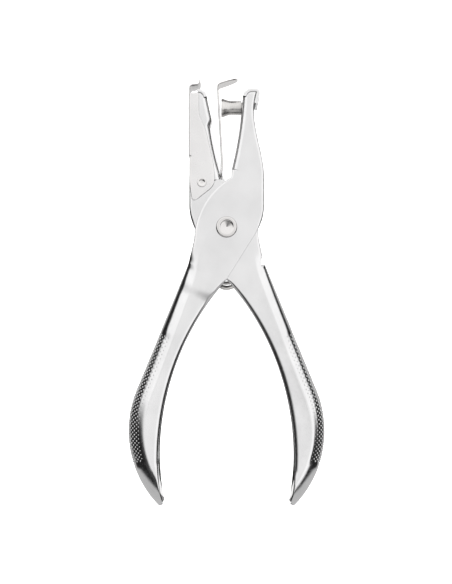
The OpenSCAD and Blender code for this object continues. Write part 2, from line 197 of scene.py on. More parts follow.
def rounded(points, radius, steps=6):
    """A bent line with its corners rounded: near each corner the line follows the parabola that
    touches both legs at the given distance, or at just under half a leg if that is less."""
    p = np.asarray(points, float)
    mid, back, ahead = p[1:-1], p[:-2] - p[1:-1], p[2:] - p[1:-1]
    reach = np.broadcast_to(np.asarray(radius, float), len(mid))[:, None]
    a = mid + unit(back) * np.minimum(reach, np.linalg.norm(back, axis=1, keepdims=True) * 0.49)
    b = mid + unit(ahead) * np.minimum(reach, np.linalg.norm(ahead, axis=1, keepdims=True) * 0.49)
    t = np.linspace(0, 1, steps + 1)[None, :, None]
    bend = (1 - t) ** 2 * a[:, None] + 2 * t * (1 - t) * mid[:, None] + t ** 2 * b[:, None]
    return np.concatenate([p[:1], bend.reshape(-1, p.shape[1]), p[-1:]])


def resample(path, count):
    """A line's points at equal steps of its own length."""
    far = np.concatenate([[0], np.cumsum(np.linalg.norm(np.diff(path, axis=0), axis=1))])
    at = np.linspace(0, far[-1], count)
    return np.stack([np.interp(at, far, path[:, k]) for k in range(path.shape[1])], axis=-1)


def side_of(path):
    """Unit vectors square to a plane line at each of its points, to its left."""
    along = unit(np.gradient(path, axis=0))
    return np.stack([-along[:, 1], along[:, 0]], axis=-1)


def revolve(profile, sides=72):
    """A profile of (radius, height) carried round an axis: radius times cosine, radius times sine,
    height, at even angles."""
    a = np.linspace(0, 2 * np.pi, sides, endpoint=False)
    r, h = np.asarray(profile, float).T
    points = np.stack([r[:, None] * np.cos(a), r[:, None] * np.sin(a),
                       np.repeat(h[:, None], sides, axis=1)], axis=-1)
    return points.reshape(-1, 3), grid_faces(len(r), sides, closed=True)


print("helpers ready")

# %% [markdown]
# ## Folded sheet with rolled edges
# The levers, the catcher and the leaf are stamped from sheet and tumbled before plating, so their
# edges are round. A Solidify and a Bevel modifier could do that, but where a piece narrows the
# bevel is cut short everywhere. Here the outer face is given as patches that share their borders.
# The inner face lies one thickness below it, and each free edge is closed by a half-round rim.

# %% Sheet from patches
RIM_STEPS, RIM_SHARE = 6, 0.6


def weld(points, faces):
    """Points that share a place to a thousandth of a millimetre are numbered as one point. The small
    shift keeps round values away from the border between two steps."""
    key = np.floor(points * 1000 + 0.123).astype(np.int64)
    _, first, back = np.unique(key, axis=0, return_index=True, return_inverse=True)
    return points[first], back.reshape(-1)[faces]


def point_normals(points, faces):
    """Mean direction of the faces round each point, each face counting by its area."""
    corner = points[faces]
    across = np.cross(corner[:, 2] - corner[:, 0], corner[:, 3] - corner[:, 1])
    total = np.zeros_like(points)
    np.add.at(total, faces.reshape(-1), np.repeat(across, 4, axis=0))
    return unit(total), np.linalg.norm(across, axis=1) / 2


def sheet_metal(patches, thick, roll=0.8):
    """Closed sheet from patches of its outer face. Inner face: each point less thick times its
    normal. Rim: about the middle of the free edge, half the thickness times cosine along the
    normal plus the roll radius times sine along the sheet, from 0 to 180 degrees. The roll radius
    is a share of half the thickness, or of the last face's depth where that is less."""
    sizes = [p.shape[0] * p.shape[1] for p in patches]
    starts = np.concatenate([[0], np.cumsum(sizes)])
    points = np.concatenate([p.reshape(-1, 3) for p in patches])
    faces = np.concatenate([grid_faces(*p.shape[:2], first) for p, first in zip(patches, starts)])
    points, faces = weld(points, faces)
    normal, area = point_normals(points, faces)
    edges = np.stack([faces, np.roll(faces, -1, axis=1)], axis=-1).reshape(-1, 2)
    _, where, count = np.unique(np.sort(edges, axis=1), axis=0, return_index=True,
                                return_counts=True)
    where = where[count == 1]
    free = edges[where]
    along = points[free[:, 1]] - points[free[:, 0]]
    out = unit(np.cross(along, normal[free].mean(axis=1)))
    spread = np.zeros_like(points)
    np.add.at(spread, free.reshape(-1), np.repeat(out, 2, axis=0))
    spread /= np.maximum(np.linalg.norm(spread, axis=1, keepdims=True), 1)
    room = np.full(len(points), roll * thick / 2)
    depth = RIM_SHARE * area[where // 4] / np.maximum(np.linalg.norm(along, axis=1), 1e-6)
    np.minimum.at(room, free.reshape(-1), np.repeat(depth, 2))
    outer = points - room[:, None] * spread
    inner = outer - thick * normal
    brim = np.unique(free)
    a = np.linspace(0, np.pi, RIM_STEPS + 1)[:, None, None]
    rings = ((outer + inner)[brim] / 2 + thick / 2 * np.cos(a) * normal[brim]
             + np.sin(a) * (room[:, None] * spread)[brim])
    n, m = len(points), len(brim)
    number = np.arange(1, RIM_STEPS)[:, None] * m + np.arange(m) + 2 * n - m
    number = np.concatenate([brim[None], number, brim[None] + n])
    i, j = np.searchsorted(brim, free.T)
    rim = np.stack([number[:-1, i], number[1:, i], number[1:, j], number[:-1, j]], axis=-1)
    all_points = np.concatenate([outer, inner, rings[1:-1].reshape(-1, 3)])
    return all_points, np.concatenate([faces, faces[:, ::-1] + n, rim.reshape(-1, 4)])


print("sheet helper ready, rims of", RIM_STEPS, "steps")

# %% [markdown]
# ## Pieces
# A finished piece is a mesh at the origin with its place in its points. It rides on the body whose
# pieces move together, stands for its CAD node, and takes the finish it is given. Bores are cut
# with a Boolean, because a round hole does not lie along the lines of the grid. The solver for closed
# meshes is used, since the exact one loses a folded sheet whose faces touch each other.

# %% Make, drill and finish a piece
def shade(mesh, deg=38):
    """Smooth shading with creases where faces meet at more than the given angle."""
    mesh.shade_smooth()
    mesh.set_sharp_from_angle(angle=math.radians(deg))


def piece(name, points, faces, finish):
    """An object from points in millimetres about the tool's middle plane. Points at one place are
    merged, and the faces turned outwards."""
    mesh = bpy.data.meshes.new(name)
    mesh.from_pydata(((points + [0, 0, MID_Z]) * MM).tolist(), [], faces.tolist())
    work = bmesh.new()
    work.from_mesh(mesh)
    bmesh.ops.remove_doubles(work, verts=work.verts, dist=1e-6)
    bmesh.ops.recalc_face_normals(work, faces=work.faces)
    work.to_mesh(mesh)
    work.free()
    shade(mesh)
    mesh.materials.append(finish)
    obj = bpy.data.objects.new(name, mesh)
    scene.collection.objects.link(obj)
    return obj


def drill(obj, start, end, radius, sides=48):
    """Cuts a round bore: a cylinder of that radius from start to end is taken away."""
    start, end = np.asarray(start, float), np.asarray(end, float)
    long = np.linalg.norm(end - start)
    axis = (end - start) / long
    one = unit(np.cross(axis, [0.3, 0.2, 0.9]))
    points, faces = revolve([(0, 0), (radius, 0), (radius, long), (0, long)], sides)
    turned = points @ np.stack([one, np.cross(axis, one), axis]) + start
    cutter = piece("cutter", turned, faces, None)
    cut = obj.modifiers.new("bore", "BOOLEAN")
    cut.operation, cut.solver, cut.object = "DIFFERENCE", "MANIFOLD", cutter
    done = bpy.data.meshes.new_from_object(obj.evaluated_get(bpy.context.evaluated_depsgraph_get()))
    obj.modifiers.clear()
    old, obj.data = obj.data, done
    name = old.name
    bpy.data.meshes.remove(old)
    done.name = name
    cut_mesh = cutter.data
    bpy.data.objects.remove(cutter)
    bpy.data.meshes.remove(cut_mesh)
    shade(done)


def settle(obj, body, slot, *nodes):
    """The piece rides on a body and stands for its nodes; the slot is not used."""
    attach(obj, body)
    if nodes:
        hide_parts(*nodes)
    print(obj.name, len(obj.data.polygons), "faces on", body)


# %% [markdown]
# ## Finishes
# Nickel plate over pressed sheet is bright, a little warm, and never quite even: the sheet keeps a
# faint orange-peel wave and the plating a haze of fine rubbing marks. Each finish is a metal whose
# colour and gloss drift with soft noise, and whose bump carries the marks of how it was made.

# %% Finishes
def finish(name, dark, light, rough, streak, wave=0.02, marks=(900, 900, 900), grain=1.0):
    """A metal whose colour runs between two tones and whose gloss runs between two values with
    soft noise. Fine marks are noise stretched by the given scales, and wave is the bump's height
    in millimetres."""
    mat = bpy.data.materials.new(name)
    mat.use_nodes = True
    nodes, links = mat.node_tree.nodes, mat.node_tree.links
    shader = nodes["Principled BSDF"]
    shader.inputs["Metallic"].default_value = 1.0
    place = nodes.new("ShaderNodeTexCoord")
    cloud = nodes.new("ShaderNodeTexNoise")
    cloud.inputs["Scale"].default_value = 90.0
    cloud.inputs["Detail"].default_value = 4.0
    links.new(place.outputs["Object"], cloud.inputs["Vector"])
    tone = nodes.new("ShaderNodeValToRGB")
    tone.color_ramp.elements[0].position, tone.color_ramp.elements[1].position = 0.3, 0.62
    tone.color_ramp.elements[0].color = (*dark, 1)
    tone.color_ramp.elements[1].color = (*light, 1)
    links.new(cloud.outputs["Fac"], tone.inputs["Fac"])
    links.new(tone.outputs["Color"], shader.inputs["Base Color"])
    stretch = nodes.new("ShaderNodeMapping")
    stretch.inputs["Scale"].default_value = marks
    links.new(place.outputs["Object"], stretch.inputs["Vector"])
    rub = nodes.new("ShaderNodeTexNoise")
    rub.inputs["Scale"].default_value = 1.0
    rub.inputs["Detail"].default_value = 3.0
    links.new(stretch.outputs["Vector"], rub.inputs["Vector"])
    gloss = nodes.new("ShaderNodeMapRange")
    gloss.inputs["From Min"].default_value, gloss.inputs["From Max"].default_value = 0.25, 0.75
    gloss.inputs["To Min"].default_value, gloss.inputs["To Max"].default_value = rough
    links.new(rub.outputs["Fac"], gloss.inputs["Value"])
    links.new(gloss.outputs["Result"], shader.inputs["Roughness"])
    peel = nodes.new("ShaderNodeTexNoise")
    peel.inputs["Scale"].default_value = 420.0 * grain
    links.new(place.outputs["Object"], peel.inputs["Vector"])
    low = nodes.new("ShaderNodeBump")
    low.inputs["Strength"].default_value = 0.5
    low.inputs["Distance"].default_value = wave * MM
    links.new(peel.outputs["Fac"], low.inputs["Height"])
    fine = nodes.new("ShaderNodeBump")
    fine.inputs["Strength"].default_value = 0.6
    fine.inputs["Distance"].default_value = streak * MM
    links.new(rub.outputs["Fac"], fine.inputs["Height"])
    links.new(low.outputs["Normal"], fine.inputs["Normal"])
    links.new(fine.outputs["Normal"], shader.inputs["Normal"])
    return mat


plated = finish("nickel_plate", (0.58, 0.58, 0.585), (0.63, 0.63, 0.635), (0.1, 0.2), 0.003)
catcher_plate = finish("thin_nickel_plate", (0.59, 0.585, 0.585), (0.635, 0.63, 0.63), (0.16, 0.3),
                       0.004)
rivet_steel = finish("set_rivet_steel", (0.53, 0.52, 0.515), (0.61, 0.60, 0.595), (0.08, 0.2), 0.004,
                     wave=0.12, grain=0.6)
pin_steel = finish("turned_tool_steel", (0.46, 0.45, 0.44), (0.56, 0.55, 0.54), (0.2, 0.34), 0.006,
                   marks=(7000, 60, 60))
leaf_steel = finish("spring_strip", (0.66, 0.65, 0.645), (0.72, 0.71, 0.705), (0.16, 0.3), 0.006,
                    marks=(700, 700, 4000))
wire_steel = finish("spring_wire", (0.52, 0.51, 0.50), (0.62, 0.61, 0.60), (0.15, 0.3), 0.004)
print("finishes:", [m.name for m in bpy.data.materials])

# %% [markdown]
# ## The levers
# A lever is one pressed sheet. Its jaw is a channel with the web on the inside, the web bends over
# the top as a cap, and below the pivot the same sheet turns into a handle whose web is on the
# outside, rounder and rounder towards its end. Seen from the front, every row of the sheet therefore
# runs from a free edge to a fold. The jaw's rows are square to the web's arc, the head's rows swing
# from one to the other, and the handle's rows are square to its outer edge, cut off by the circle of
# the inner edge. Free edges bend down in a small round hem, as pressed edges do. Values are those of
# the solids, in millimetres, for a lever with its jaw on the right.

# %% Lever sizes
T = 1.2
JAW_TOP, WEB_TOP = 43.3, 42.0
FOLD, NECK_W = 1.8, 3.2
HEAD_SIDE, SIDE_R, SIDE_Y, SIDE_TOP = 12.2, 16.0, 7.0, 16.0
SHOULDER_C, SHOULDER_R = np.array([13.0, -4.5]), 23.5
HANDLE_START = np.array([-12.4, -11.8])
LEAN, RUN, BOW_R, BOW_TURN = 22.6, 44.4, 35.0, 45.0
CROTCH = np.array([0.0, -17.0])
GRIP_R, CROTCH_LEAN = 88.0, 41.4
DOWN, INWARD = -turn(90 - LEAN), turn(-LEAN)
BOW_C = HANDLE_START + RUN * DOWN + BOW_R * INWARD
GRIP_C = CROTCH + GRIP_R * turn(-CROTCH_LEAN)
WAIST_X, WAIST_Y, LIP_X = 8.9, 37.5, 10.3
DIE_EDGE, FLARE_TOP, BOSS_FOOT = 10.9, 29.0, 32.3
BOSS_RISE = 2.6
CAP_R, LIP_R, LIP_LEAN, TUCK = 2.2, 1.0, 0.7, 0.1
CAP_ROWS, CAP_INSET, CAP_STEP = 9, 0.08, 0.3
NECK_FROM, NECK_OVER, CURL_FROM, CURL_OVER, TILT_FROM, TILT_OVER = 0.6, 0.4, 0.84, 0.16, 0.72, 0.2
STEP_AT, STEP_OVER = 5.0, 5.0
LEVER_ROLL = 1.1
CHEEK_COLS, FOLD_COLS, WEB_COLS, HALF_COLS = 7, 12, 6, 14
JAW_ROWS, HEAD_ROWS, RUN_ROWS, BOW_ROWS = 62, 70, 52, 64
KNURL_DEPTH, KNURL_FROM, KNURL_TO, KNURL_SPAN = 0.17, 24.5, 69.0, 74.0
KNURL_LEAD, KNURL_OVER, SPAN_LEAD, SPAN_OVER = 2, 3, 6, 8
EDGE_STEPS = np.array([0, 0.25, 0.5, 0.8, 1.15, 1.55])
EDGE_ROOM, LAST_COL = 2.6, 0.95
HEM_R, HEM_W, HEM_LEAST, HEM_CUT, HEM_MORE = 1.3, 1.1, 0.25, 0.2, 0.4
HEM_LOW, HEM_OVER, HEM_START, MORE_OVER = 3, 5, 1.5, 8
ROUND_AT, ROUND_GAP, FOLD_SHARE = 45.0, 0.05, 1.35
SLOPE, SLOPE_W, SLOPE_AT = 0.14, 7.0, 12.0


def punch_edge(y):
    """Outer edge of the punch jaw: a parabola above the waist, an eased line to the head below."""
    high = WAIST_X + (LIP_X - WAIST_X) * ((y - WAIST_Y) / (JAW_TOP + 1.5 - WAIST_Y)) ** 2
    low = WAIST_X + (HEAD_SIDE - WAIST_X) * ease((WAIST_Y - y) / (WAIST_Y - SIDE_TOP))
    return np.where(y > WAIST_Y, high, low)


def die_edge(y):
    """Outer edge of the die jaw: straight, then eased out to the side of the head."""
    return DIE_EDGE + (HEAD_SIDE - DIE_EDGE) * ease((FLARE_TOP - y) / (FLARE_TOP - SIDE_TOP))


def arc_centre(p, q, r):
    """Centre of the arc of radius r that rises from p to q and bulges to the right."""
    half = np.linalg.norm(q - p) / 2
    u = (q - p) / (2 * half)
    return (p + q) / 2 + math.sqrt(r * r - half * half) * np.array([-u[1], u[0]])


def across(width):
    """Shares of a row's width for its columns: fine steps next to the free edge, smaller where the row
    is narrow, even ones from there on, and a short one at the fold."""
    near = EDGE_STEPS / np.maximum(width, EDGE_ROOM)[:, None]
    last = near[:, -1:]
    even = np.append(np.linspace(0, LAST_COL, CHEEK_COLS)[1:], 1)
    return np.concatenate([near, last + (1 - last) * even], axis=1)


def hem_size(t):
    """Size of the hem where it fades: from its least, where t is 0, to 1, where t is 1."""
    return HEM_LEAST + (1 - HEM_LEAST) * ease(t)


def hem_drop(gap, size=1.0):
    """How far a cheek bends down at a distance from its free edge: along a circle of the hem's radius,
    over the hem's width."""
    near = np.clip(HEM_W - gap / size, 0, HEM_W)
    return size * (HEM_R - np.sqrt(HEM_R ** 2 - near ** 2))


def lean_drop(gap, s, start):
    """How far the inner half of a handle's cheek leans down at a distance from the fold: a parabola,
    steepest at the fold and level at the lean's width, that comes in along the handle."""
    gap = np.clip(gap, 0, SLOPE_W)
    return SLOPE * ease((s - start) / SLOPE_AT) * (gap - gap ** 2 / (2 * SLOPE_W))


def fold_height(angle, wide, tall):
    """Height of the fold over the wall: its height times the sine, less a share of its width that
    makes it meet the cheek in a low ridge."""
    rake = SLOPE * wide
    return (tall - rake) * np.sin(angle) + rake * (1 - np.cos(angle))


PUNCH = dict(half=6.15, grip=5.75, foot=np.array([1.66, 18.5]), top=np.array([5.16, WEB_TOP]),
             r=127.0, edge=punch_edge, curl=HALF_COLS, cap_run=1.25, lip=3.4, boss=0.0, ridge=2.0)
DIE = dict(half=4.8, grip=4.8, foot=np.array([1.66, 15.5]), top=np.array([6.3, WEB_TOP]), r=104.0,
           edge=die_edge, curl=6, cap_run=0.4, lip=0.0, boss=0.9, ridge=-6.0)
print("handle bends about", BOW_C.round(2), "inner edge about", GRIP_C.round(2))

# %% [markdown]
# ### Jaw rows
# The web lies on a shallow arc. Square to it, the section is a quarter-round fold, a straight web and
# another fold. The cheeks run from the fold to the hem at the jaw's outer edge and stand a little
# higher than the web, round at the corner. On the die jaw the web swells to a low boss round the
# hole, and on both jaws it carries on over the top as the cap.

# %% Jaw patches
def jaw_patches(lever):
    """Cheek, web and cap of a jaw. Web: a point on the arc plus its depth along the arc's radius,
    with depth and height going round two quarter circles of the fold radius. Cap: the web's own
    line carried round a bend, along the top and, on the punch jaw, down a lip."""
    half, foot, top, r = lever["half"], lever["foot"], lever["top"], lever["r"]
    c = arc_centre(foot, top, r)
    arm = turn(np.linspace(angle_of(top - c), angle_of(foot - c), JAW_ROWS))
    y = c[1] + r * arm[:, 1]
    taper = np.clip((WEB_TOP - y) / (WEB_TOP - BOSS_FOOT - BOSS_RISE), 0, 1)
    boss = lever["boss"] * ease((y - BOSS_FOOT) / BOSS_RISE) * taper
    left = c + (r - boss)[:, None] * arm
    fold = left + FOLD * arm
    b = angle_of(top - c)
    bend = c + (r + T / 2 + CAP_R) * turn(b)
    corner = bend + [lever["cap_run"], CAP_R - LIP_R]
    share = np.clip(1 - np.arange(JAW_ROWS) / CAP_ROWS, 0, 1)[:, None] ** 2

    def rise(depth):
        """Height that a row gains at a depth from the web, so that the top row is tucked into the
        cap."""
        under = (CAP_R - T / 2) ** 2 - np.maximum(CAP_R + T / 2 - depth, 0) ** 2
        inside = np.sqrt(np.maximum(under, 0)) + bend[1] - WEB_TOP + TUCK
        return share * np.where(under > 0, inside, 0)

    high = left[:, 1] + share[:, 0] * (bend[1] + CAP_R - T / 2 - WEB_TOP)
    edge = lever["edge"](high)
    if lever["lip"]:
        inside = corner[0] + LIP_R - T / 2 + TUCK - LIP_LEAN * (corner[1] - high) / lever["lip"]
        edge = np.minimum(edge, np.where(high > corner[1] - lever["lip"], inside, edge))
    right = np.stack([edge, left[:, 1]], axis=-1)
    width = np.linalg.norm(right - fold, axis=1)
    s = across(width)
    flat = right[:, None] + (fold - right)[:, None] * s[..., None]
    flat[..., 1] += rise(FOLD + np.linalg.norm(flat - fold[:, None], axis=-1))
    core = half - FOLD
    g = np.radians(np.linspace(90, 180, FOLD_COLS + 1))
    z = np.concatenate([core + FOLD * np.sin(g), np.linspace(core, -core, WEB_COLS + 1)[1:-1],
                        -core - FOLD * np.sin(g[::-1])])
    d = np.concatenate([FOLD + FOLD * np.cos(g), np.zeros(WEB_COLS - 1),
                        FOLD + FOLD * np.cos(g[::-1])])
    web = with_z(left[:, None] + d[None, :, None] * arm[:, None], z[None, :])
    web[..., 1] += rise(np.repeat(d[None, :], JAW_ROWS, axis=0))
    line = [bend + (CAP_R + T / 2) * turn(np.linspace(180 + b, 90, 25))]
    if lever["lip"]:
        line.append(corner + (LIP_R + T / 2) * turn(np.linspace(90, -10, 13)))
        line.append((corner + [LIP_R + T / 2 - LIP_LEAN, -lever["lip"]])[None])
    else:
        line.append((corner + [0, LIP_R + T / 2])[None])
    line = np.concatenate(line)
    full = half - CAP_INSET
    middle = np.linspace(core, -core, WEB_COLS - 1)[1:-1]
    tight = np.concatenate([[full, full - CAP_STEP], middle, [CAP_STEP - full, -full]])
    z = np.repeat(tight[None], len(line), axis=0)
    z[0] = np.linspace(core, -core, WEB_COLS + 1)
    cap = with_z(np.repeat(line[:, None], WEB_COLS + 1, axis=1), z)
    return with_z(flat, half - hem_drop(s * width[:, None])), web, cap[::-1]


print("jaw rows", JAW_ROWS, "web columns", 2 * FOLD_COLS + WEB_COLS)

# %% [markdown]
# ### Head and handle rows
# The head is flat up to its hem. Near the handle the strip along its left border tilts and then
# curls down to meet the handle's web: over the whole quarter on the punch lever, over part of it on
# the die lever, where a notch shows. The handle's fold starts small and grows until the web is almost
# half round, and the inner half of the cheek leans down from a low ridge beside the fold. The punch
# lever's handle narrows a little at a pressed step. The web is rolled in slightly where the grip's
# raised dots stand, so that their tops stay level with the solid.

# %% Head and handle patches
def head_patches(lever, last_right):
    """Flat cheek and the flap beside it. Rows join points at equal shares of the left and right
    borders. Flap: from the fold line to the left border, with a drop that passes from a hem and a
    slight tilt to the fold's own curve as the handle comes near."""
    half, foot = lever["half"], lever["foot"]
    low = min(foot[1] - 0.5, 16.0)
    rise = 180 - math.degrees(math.asin((low - SHOULDER_C[1]) / SHOULDER_R))
    border = np.concatenate([foot[None], SHOULDER_C + SHOULDER_R * turn(np.linspace(rise, 178, 30)),
                             HANDLE_START[None]])
    left = resample(rounded(border, 1.0), HEAD_ROWS)
    y = np.linspace(foot[1], SIDE_TOP, 8) if foot[1] > SIDE_TOP else foot[1:2]
    c = np.array([HEAD_SIDE - SIDE_R, SIDE_Y])
    reach = CROTCH - c
    stop = angle_of(reach) + math.degrees(math.acos(SIDE_R / np.linalg.norm(reach)))
    right = resample(np.concatenate([np.stack([lever["edge"](y), y], axis=-1),
                                     c + SIDE_R * turn(np.linspace(0, stop, 20)),
                                     last_right[None]]), HEAD_ROWS)
    t = np.linspace(0, 1, HEAD_ROWS)
    wide = FOLD + (NECK_W - FOLD) * ease((t - NECK_FROM) / NECK_OVER)[:, None]
    fold = left + wide * unit(right - left)
    width = np.linalg.norm(right - fold, axis=1)
    s = across(width)
    size = hem_size((right[:, 1:] + HEM_LOW) / HEM_OVER)
    cheek = with_z(right[:, None] + (fold - right)[:, None] * s[..., None],
                   half - hem_drop(s * width[:, None], size))
    along = (t[:, None] - 1) * np.linalg.norm(np.diff(left, axis=0), axis=1).sum()
    cheek[..., 2] -= lean_drop((1 - s) * width[:, None], along, lever["ridge"])
    full = np.pi / 2 * lever["curl"] / HALF_COLS
    grow = ease((t - CURL_FROM) / CURL_OVER)[:, None] ** 2
    even = np.linspace(0, 1, lever["curl"] + 1)
    share = even + grow * (np.sin(full * even) - even)
    flap = fold[:, None] + (left - fold)[:, None] * share[..., None]
    drop = grow * (FOLD - fold_height(np.arccos(np.minimum(share, 1)), wide, FOLD))
    tilt = SLOPE * wide * ease((t - TILT_FROM) / TILT_OVER)[:, None]
    drop += (1 - grow) * (hem_drop(HEM_CUT + wide * (1 - share)) + tilt * share)
    return cheek, with_z(flap, half - drop)


def handle_line(lever):
    """Outer edge of the handle: distance along it, points, inward unit vectors, half width of the
    section and the depth to the inner edge, which is where the inward ray meets the grip circle."""
    s = np.linspace(0, RUN, RUN_ROWS)
    psi = np.linspace(0, LEAN + BOW_TURN, BOW_ROWS)[1:]
    inward = np.concatenate([np.repeat(INWARD[None], RUN_ROWS, axis=0), turn(psi - LEAN)])
    line = np.concatenate([HANDLE_START + s[:, None] * DOWN, BOW_C - BOW_R * turn(psi - LEAN)])
    s = np.concatenate([s, RUN + np.radians(psi) * BOW_R])
    half = lever["half"] + (lever["grip"] - lever["half"]) * ease((s - STEP_AT) / STEP_OVER)
    off = line - GRIP_C
    b = (inward * off).sum(axis=1)
    deep = -b - np.sqrt(b * b - (off * off).sum(axis=1) + GRIP_R ** 2)
    return s, line, inward, half, deep


def fold_reach(s, half):
    """Width and height of the fold along the handle: both grow with the root of the distance until the
    section is almost half round."""
    share = np.sqrt(np.minimum(s / ROUND_AT, 1))
    most = half - ROUND_GAP
    return NECK_W + (most - NECK_W) * share, FOLD + (most - FOLD) * share


def handle_patches(lever):
    """Cheek and web of the handle. Section: two quarter ellipses of the fold joined by a straight wall.
    On an ellipse the depth is the fold's width times one less the cosine of an angle, and the height is
    the wall's half plus the fold's height at that angle. From the ridge the cheek leans down, and next
    to the free edge it bends down."""
    s, line, inward, half, deep = handle_line(lever)
    wide, tall = fold_reach(s, half)
    split = np.minimum(wide, deep / FOLD_SHARE)
    angle = np.arccos(1 - split / wide)[:, None] * np.linspace(1, 0, HALF_COLS + 1)
    wall, wide, tall = (half - tall)[:, None], wide[:, None], tall[:, None]
    d = deep[:, None] + (split - deep)[:, None] * across(deep - split)
    room = np.minimum((deep - split) / EDGE_ROOM, 1)
    size = (room * hem_size(s / HEM_START) * (1 + HEM_MORE * ease(s / MORE_OVER)))[:, None]
    z = wall + fold_height(np.arccos(1 - np.minimum(d / wide, 1)), wide, tall)
    z -= hem_drop(deep[:, None] - d, size) + lean_drop(d - wide, s[:, None], lever["ridge"])
    cheek = with_z(line[:, None] + d[..., None] * inward[:, None], z)
    band = ease((s - KNURL_FROM + KNURL_LEAD) / KNURL_OVER)
    band = band * ease((KNURL_TO + KNURL_LEAD - s) / KNURL_OVER)
    rolled = ease((KNURL_SPAN + SPAN_LEAD - np.degrees(angle)) / SPAN_OVER)
    sunk = KNURL_DEPTH * band[:, None] * rolled
    flat = line[:, None] + (wide - (wide - sunk) * np.cos(angle))[..., None] * inward[:, None]
    upper = with_z(flat, wall + fold_height(angle, wide, tall) - sunk * np.sin(angle))
    web = np.concatenate([upper, upper[:, ::-1] * [1, 1, -1]], axis=1)
    return cheek, web, line[0] + deep[0] * inward[0]


def lever_sheet(lever, mirrored):
    """All patches of a lever, front and rear, as one closed sheet. The rear cheek and flap are the
    front ones with their height turned over and their columns in reverse."""
    grip_cheek, grip_web, crotch_point = handle_patches(lever)
    head_cheek, flap = head_patches(lever, crotch_point)
    jaw_cheek, web, cap = jaw_patches(lever)
    front = np.concatenate([jaw_cheek, head_cheek[1:], grip_cheek[1:]])
    over = np.array([1, 1, -1])
    patches = [front, front[:, ::-1] * over, web, cap, flap, flap[:, ::-1] * over, grip_web]
    if mirrored:
        patches = [p * np.array([-1, 1, 1]) for p in patches]
    else:
        patches = [p[:, ::-1] for p in patches]
    return sheet_metal(patches, T, LEVER_ROLL)


punch_lever = piece("punch_lever_sheet", *lever_sheet(PUNCH, False), plated)
die_lever = piece("die_lever_sheet", *lever_sheet(DIE, True), plated)
print("tip width left for the end of the sheet:", handle_line(PUNCH)[4][-1].round(2), "mm")

# %% Bores of the levers
PIVOT_D, CATCH_D = 5.0, 1.9
CATCH_AT = np.array([-7.96, 14.4])
PIN_Y, PIN_END, HOLE_D, TAIL_D = 39.35, -1.7, 6.0, 3.4
CLOSE = 7.5
THROUGH, DIE_DEPTH = 9, 5
LOOSE, SEAT, CUT = 0.05, 0.02, 0.1
drill(punch_lever, (0, 0, -THROUGH), (0, 0, THROUGH), PIVOT_D / 2 + LOOSE)
drill(punch_lever, (2, PIN_Y, 0), (8, PIN_Y, 0), TAIL_D / 2 + SEAT)
drill(die_lever, (0, 0, -THROUGH), (0, 0, THROUGH), PIVOT_D / 2 + SEAT)
drill(die_lever, (*CATCH_AT, -THROUGH), (*CATCH_AT, THROUGH), CATCH_D / 2 + SEAT)
die_axis = -turn(CLOSE)
die_mouth = PIN_Y * turn(90 + CLOSE)
drill(die_lever, (*die_mouth, 0), (*(die_mouth + DIE_DEPTH * die_axis), 0), HOLE_D / 2 + CUT)
settle(punch_lever, "punch_body", "plated_sheet", "punch_lever")
settle(die_lever, "die_body", "plated_sheet", "die_lever")

# %% [markdown]
# ### Grip dots
# The outside of each handle is rolled with rows of small raised dots, set like a honeycomb. They are
# too many for a Boolean or for a displaced mesh, so one low dome of two dozen faces is worked out and
# placed at every point of the pattern at once, with its own normal and directions.

# %% Grip dots
ROW_STEP, AROUND, DOT_R, DOT_SIDES = 0.72, 1.6, 0.33, 8
DOT_RINGS, DOT_LIFTS = np.array([1.0, 0.7, 0.35]), np.array([-0.02, 0.45, 0.83])
EDGE_CLEAR, SMALL_BY, SMALL_FROM, SMALL_OVER = 0.12, 0.4, 0.8, 0.45


